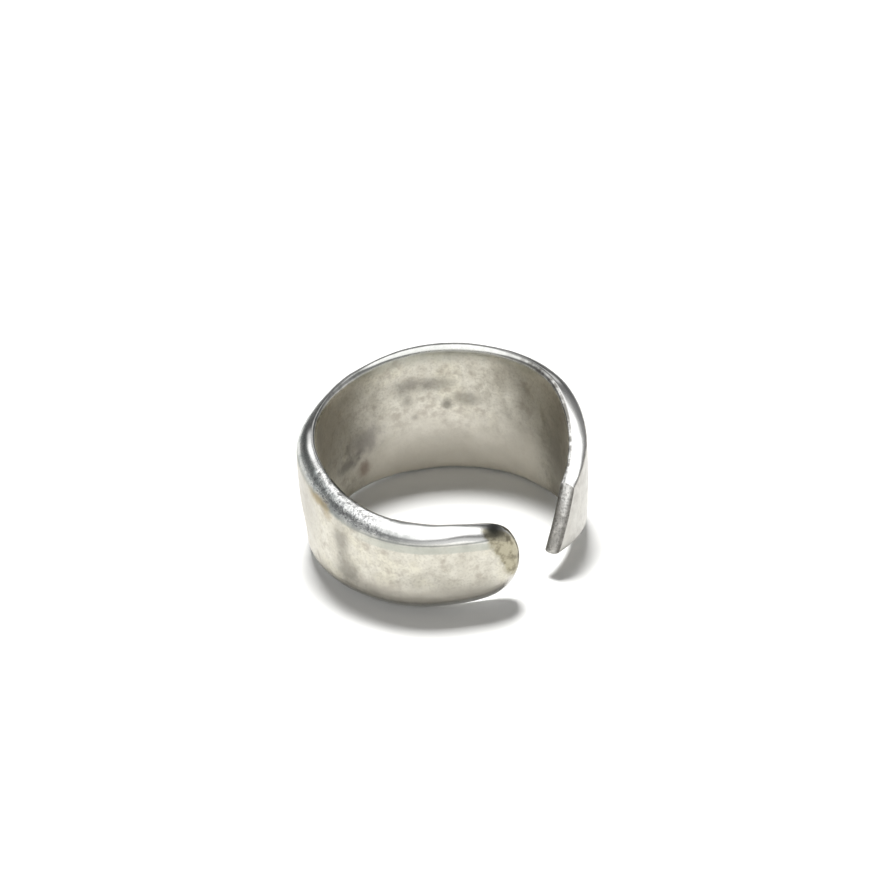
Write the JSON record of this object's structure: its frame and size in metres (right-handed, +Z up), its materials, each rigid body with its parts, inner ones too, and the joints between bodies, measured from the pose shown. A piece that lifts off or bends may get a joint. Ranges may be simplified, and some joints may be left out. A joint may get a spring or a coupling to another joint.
{
  "type": "spoon ring",
  "caption": "Open finger ring bent from a silver spoon handle: a wide tapered band with a rounded tip, a narrow cut end and a gap between them.",
  "frame": {"origin": "the middle of the ring's box on the surface that it lies on", "axes": "+Z up from the surface the ring lies on, close to the finger hole's axis; +X and +Y level, with the gap between the ends towards +X and -Y, and the widest part of the band towards +Y"},
  "size_m": [0.0206, 0.0212, 0.0113],
  "materials": {
    "silver": "worn polished sterling silver with faint tarnish, pits and fine scratches"
  },
  "bodies": {
    "root": {"ring_band": "silver"}
  },
  "joints": []
}
